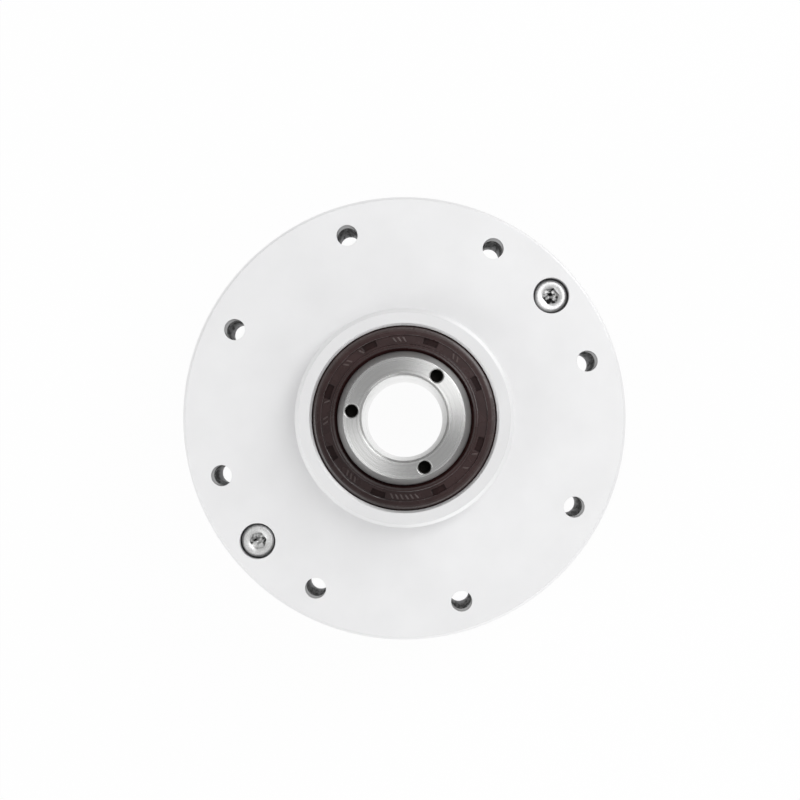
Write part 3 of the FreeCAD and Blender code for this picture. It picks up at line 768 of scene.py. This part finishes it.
def make_piece(name, skins, material, body):
    """One mesh piece from several skins, riding on a body."""
    points = []
    faces = []
    for skin_points, skin_faces in skins:
        start = len(points)
        points += skin_points
        faces += [tuple(start + k for k in face) for face in skin_faces]
    mesh = bpy.data.meshes.new(name)
    mesh.from_pydata(points, [], faces)
    mesh.polygons.foreach_set("use_smooth", [True] * len(mesh.polygons))
    mesh.set_sharp_from_angle(angle=math.radians(sharp_angle))
    mesh.materials.append(material)
    piece = bpy.data.objects.new(name, mesh)
    bpy.context.scene.collection.objects.link(piece)
    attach(piece, body)
    return piece


def moved(skin, matrix):
    """A skin put in another place."""
    points, faces = skin
    return [matrix @ point for point in points], faces


def evenly(start, count):
    """Angles evenly spaced round the axis."""
    return [start + 360 / count * k for k in range(count)]


def spots(radius, angles, level, upside_down):
    """Matrices that put copies round the axis, pointing up or down."""
    turn = Matrix.Rotation(math.pi, 4, "X") if upside_down else Matrix.Identity(4)
    places = []
    for angle in angles:
        shift = Matrix.Translation((radius, 0, level))
        places.append(Matrix.Rotation(math.radians(angle), 4, "Z") @ shift @ turn)
    return places


def saw(share):
    """A wave from 0 up to 1 and back as the share goes from one whole number to the next."""
    return 1 - abs(2 * (share % 1) - 1)


def hexagon(angle):
    """The reach of a hexagon socket at an angle."""
    sixth = math.pi / 3
    return socket_reach / math.cos((angle + sixth / 2) % sixth - sixth / 2)


def socket_rim():
    """The radius of the countersunk mouth of a hexagon socket."""
    return socket_reach / math.cos(math.pi / 6) + socket_chamfer / 2


def countersink(angle):
    """The level at which the countersink of a socket meets the hexagon's wall at an angle."""
    return (hexagon(angle) - socket_rim()) * socket_slope


def knurl(angle):
    """The reach of the fine ribs round a screw head."""
    ribs = screw_segments / 2
    return head_radius - knurl_depth * (1 - saw(angle * ribs / (2 * math.pi)))


def threaded(radius, depth, pitch, level):
    """The reach of a thread at a level, as a function of the angle."""
    def reach(angle):
        turn = level / pitch - angle / (2 * math.pi)
        return radius - depth * saw(turn)
    return reach


def socket_rings():
    """Rings of a hexagon socket, from the point in its bottom up to its countersunk mouth."""
    return [
        (0, -socket_depth - socket_tip), (socket_point, -socket_depth),
        (hexagon, -socket_depth), (hexagon, countersink), (socket_rim(), 0)]


def head_rings():
    """Rings of a ribbed screw head with a round edge, from its top down to the end of the plain neck."""
    rings = []
    for k in range(head_round_steps + 1):
        bend = math.pi / 2 * k / head_round_steps
        reach = head_radius - head_round * (1 - math.sin(bend))
        rings.append((reach, -head_round * (1 - math.cos(bend))))
    rings += [
        (knurl, -head_round - knurl_depth), (knurl, -head_height + 2 * head_foot),
        (head_radius - head_foot, -head_height), (screw_radius + head_foot, -head_height),
        (screw_radius, -head_height - head_foot), (screw_radius, -head_height - screw_neck)]
    return rings


def shank_rings(length):
    """Rings of the threaded part of a screw, down to the point in the middle of its end."""
    groove = screw_pitch * thread_share
    start = -head_height - screw_neck - screw_pitch / 2
    end = -head_height - length + groove
    count = int((start - end) / screw_pitch * rings_per_turn)
    rings = []
    for k in range(count + 1):
        level = start + (end - start) * k / count
        rings.append((threaded(screw_radius, groove, screw_pitch, level), level))
    rings += [(screw_radius - groove, -head_height - length), (0, -head_height - length)]
    return rings


def make_screws(material, node, body, mount_name, angles, upside_down):
    """The screws that stand for one node, with threads, ribs and sockets."""
    low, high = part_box(node)
    length = high.z - low.z - head_height
    level = low.z if upside_down else high.z
    skin = closed_skin(socket_rings() + head_rings() + shank_rings(length), screw_segments)
    places = spots(pitch_radius(mount_name), angles, level, upside_down)
    skins = [moved(skin, place) for place in places]
    piece = make_piece("threaded_" + node, skins, material, body)
    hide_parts(node)


def thread_skin(radius, pitch, depth):
    """The ridges and the bottom of a tapped hole whose mouth is at level 0."""
    wall = radius - thread_gap
    bottom = -countersink_depth - depth
    rings = [(0, bottom)]
    count = int(depth / pitch * rings_per_turn)
    for k in range(count + 1):
        level = bottom + depth * k / count
        rings.append((threaded(wall - thread_gap, thread_ridge, pitch, level), level))
    rings += [(wall, -countersink_depth), (wall, bottom - thread_gap), (0, bottom - thread_gap)]
    return closed_skin(rings, thread_segments)


def make_hole_threads(material, name, body, mount_name, start, pitch, depth):
    """Ridges in every tapped hole of a mount."""
    mount = mounts[mount_name]
    dims = mount["dims"]
    skin = thread_skin(dims["hole_r_mm"] * MM, pitch, depth)
    upside_down = mount["axis"][2] < 0
    level = mount["pos_m"][2]
    places = spots(pitch_radius(mount_name), evenly(start, dims["count"]), level, upside_down)
    make_piece(name, [moved(skin, place) for place in places], material, body)


def polar(radius, angle, level):
    """A point from its radius, its angle in degrees and its level."""
    turn = math.radians(angle)
    return Vector((radius * math.cos(turn), radius * math.sin(turn), level))


def mark_skin(middle, level):
    """A low raised stroke across the band of the seal, leaning a little, with sloping sides."""
    rows = []
    for inset, height in ((0, -mark_draft), (0, mark_height - mark_draft), (mark_draft, mark_height)):
        half = mark_width / 2 - math.degrees(inset / mark_outer)
        inner = (mark_inner + inset, middle - mark_slant / 2)
        outer = (mark_outer - inset, middle + mark_slant / 2)
        corners = ((*inner, -half), (*inner, half), (*outer, half), (*outer, -half))
        rows.append([polar(radius, angle + side, level + height) for radius, angle, side in corners])
    count = len(rows[0])
    points = [point for row in rows for point in row]
    faces = [tuple(range(count)), tuple(range(3 * count - 1, 2 * count - 1, -1))]
    for first in (0, count):
        faces += band_faces(first, first + count, count)
    return points, faces


def make_seal_marks(material, name, node, body, upside_down):
    """Plain raised strokes on the band of a seal, in groups between its notches."""
    low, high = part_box(node)
    skins = []
    for start, count in mark_groups:
        skins += [mark_skin(start + mark_step * k, -seal_band_depth) for k in range(count)]
    place = spots(0, [0], low.z if upside_down else high.z, upside_down)[0]
    make_piece(name, [moved(skin, place) for skin in skins], material, body)


def make_camera():
    """The camera of the photograph, looking straight down a little beside the shaft's axis."""
    data = bpy.data.cameras.new("camera")
    data.sensor_width = sensor_width
    focal_pixels = photo_pixels_per_mm / MM * camera_height
    data.lens = focal_pixels * sensor_width / photo_size
    data.shift_x = 0.5 - photo_nadir.x / photo_size
    data.shift_y = photo_nadir.y / photo_size - 0.5
    data.clip_start = camera_clip
    camera = bpy.data.objects.new("camera", data)
    beside = (photo_nadir - photo_centre) / photo_pixels_per_mm * MM
    roll = photo_turn(0)
    camera.location = Matrix.Rotation(roll, 3, "Z") @ Vector((beside.x, -beside.y, camera_height))
    camera.rotation_euler = (0, 0, roll)
    bpy.context.scene.collection.objects.link(camera)
    bpy.context.scene.camera = camera


def make_lamp(name, azimuth, elevation, width, height, power):
    """A soft lamp that faces the middle of the flange, at an angle of the photograph."""
    data = bpy.data.lights.new(name, "AREA")
    data.shape = "RECTANGLE"
    data.size = width
    data.size_y = height
    data.energy = power
    lamp = bpy.data.objects.new(name, data)
    turn = photo_turn(azimuth)
    rise = math.radians(elevation)
    away = Vector((math.cos(turn) * math.cos(rise), math.sin(turn) * math.cos(rise), math.sin(rise)))
    lamp.location = away * lamp_distance
    lamp.rotation_euler = away.to_track_quat("Z", "Y").to_euler()
    bpy.context.scene.collection.objects.link(lamp)


def make_world():
    """A pale room, white at the foot of its walls and greyer overhead and on one side."""
    world = bpy.data.worlds.new("studio")
    world.use_nodes = True
    tree = world.node_tree
    direction = add_node(tree, "TexCoord", {}).outputs["Generated"]
    rise = sides_of(tree, direction)["Z"]
    side = share_towards(tree, direction, photo_turn(bright_side))
    walls = ramp(tree, remap(tree, side, start=-1.0), dim_wall, bright_wall, 0.0, 1.0)
    room = mix_colours(tree, remap(tree, rise, foot_height, wall_height), walls, ceiling)
    colour = mix_colours(tree, remap(tree, rise, 0.0, foot_height), wall_foot, room)
    tree.links.new(colour, tree.nodes["Background"].inputs["Color"])
    bpy.context.scene.world = world


def floor_material():
    """White to the eye and in reflections, shaded a little for the shadow, and clear from below."""
    material, tree, shader = new_material("floor_white")
    tree.nodes.remove(shader)
    path = add_node(tree, "LightPath", {}).outputs
    seen = math_node(tree, "MAXIMUM", path["Is Camera Ray"], path["Is Glossy Ray"])
    seen = math_node(tree, "MAXIMUM", seen, path["Is Transmission Ray"])
    share = math_node(tree, "MULTIPLY", seen, floor_white_share)
    plain = add_node(tree, "BsdfDiffuse", {"Color": rgba(floor_colour)}).outputs["BSDF"]
    white = add_node(tree, "Emission", {"Color": rgba(pure_white), "Strength": 1.0}).outputs["Emission"]
    mixed = add_node(tree, "MixShader", {0: share, 1: plain, 2: white}).outputs["Shader"]
    under = add_node(tree, "NewGeometry", {}).outputs["Backfacing"]
    clear = add_node(tree, "BsdfTransparent", {}).outputs["BSDF"]
    sided = add_node(tree, "MixShader", {0: under, 1: mixed, 2: clear}).outputs["Shader"]
    tree.links.new(sided, tree.nodes["Material Output"].inputs["Surface"])
    return material


def make_floor():
    """A white floor under the gearbox that keeps a faint shadow."""
    level = cad_box[0].z - floor_gap
    row_length = floor_steps + 1
    lines = [floor_half * (2 * k / floor_steps - 1) for k in range(row_length)]
    points = [(x, y, level) for y in lines for x in lines]
    faces = []
    for row in range(floor_steps):
        for column in range(floor_steps):
            corner = row * row_length + column
            faces.append((corner, corner + 1, corner + row_length + 1, corner + row_length))
    mesh = bpy.data.meshes.new("floor")
    mesh.from_pydata(points, [], faces)
    mesh.materials.append(floor_material())
    floor = bpy.data.objects.new("floor", mesh)
    bpy.context.scene.collection.objects.link(floor)


materials = make_materials()
dress_nodes(materials)
make_screws(materials["screw_steel"], "housing_screws", "housing", "flange_bolts",
            evenly(screw_start, screw_count), upside_down=False)
make_screws(materials["screw_steel"], "output_screws", "output", "output_bolts",
            evenly(output_screw_start, output_screw_count), upside_down=True)
make_hole_threads(shaded_threads(), "shaft_threads", "input", "shaft_bolts",
                  shaft_hole_start, shaft_thread_pitch, shaft_thread_depth)
make_hole_threads(materials["output_aluminium"], "output_threads", "output", "output_bolts",
                  output_hole_start, output_thread_pitch, output_thread_depth)
# The marks are lighter than the seal, partly as painted highlight on their raised strokes
rub_and_sheen = moulded_rubber("rub_and_sheen_brown", mark_colour, roughness=0.3, finish=seal_finish)
make_seal_marks(rub_and_sheen, "input_seal_marks", "input_seal_rubber", "housing", upside_down=False)
make_seal_marks(rub_and_sheen, "output_seal_marks", "output_seal_rubber", "output", upside_down=True)
make_camera()
for lamp_name, settings in lamps.items():
    make_lamp(lamp_name, **settings)
make_world()
make_floor()
bpy.context.scene.view_settings.view_transform = "Standard"
